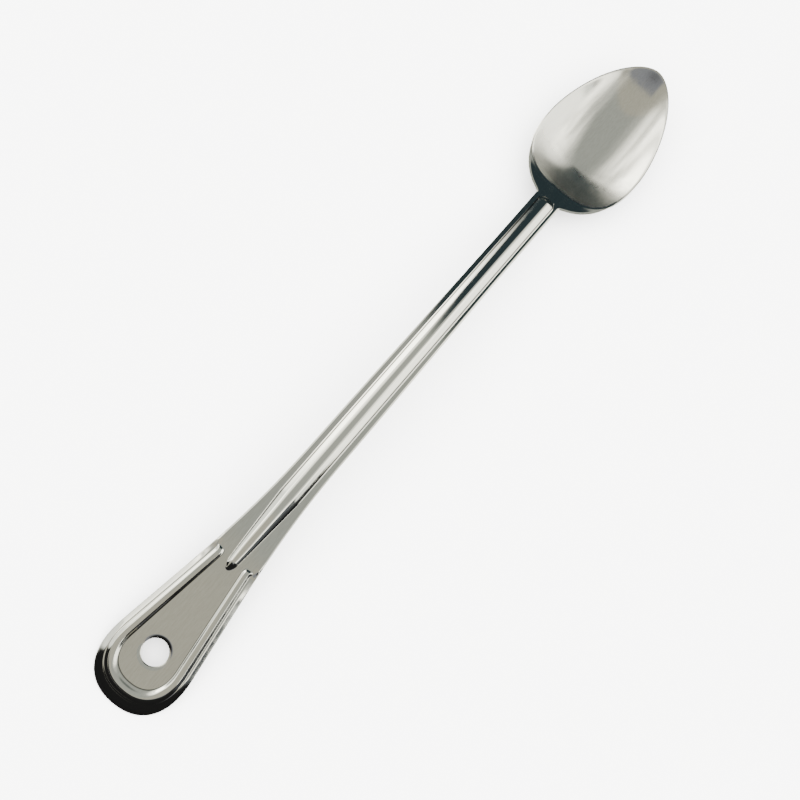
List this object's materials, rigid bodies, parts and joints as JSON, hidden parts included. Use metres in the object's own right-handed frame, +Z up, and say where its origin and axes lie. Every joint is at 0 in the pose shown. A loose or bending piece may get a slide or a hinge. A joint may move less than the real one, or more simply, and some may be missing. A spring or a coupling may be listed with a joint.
{
  "type": "serving spoon",
  "caption": "Long one-piece pressed steel serving spoon with a pointed egg-shaped bowl, a ribbed handle and a beaded, flared tail with a hanging hole.",
  "frame": {"origin": "centre of the spoon's bounding box, at the level of the table it lies on", "axes": "+X along the spoon towards the bowl's tip, +Z up out of the open side of the bowl, the spoon is even about Y = 0"},
  "size_m": [0.4574, 0.065, 0.0351],
  "materials": {
    "steel": "polished stainless steel, satin inside the bowl"
  },
  "bodies": {
    "root": {"handle": "steel", "bowl": "steel"}
  },
  "joints": []
}
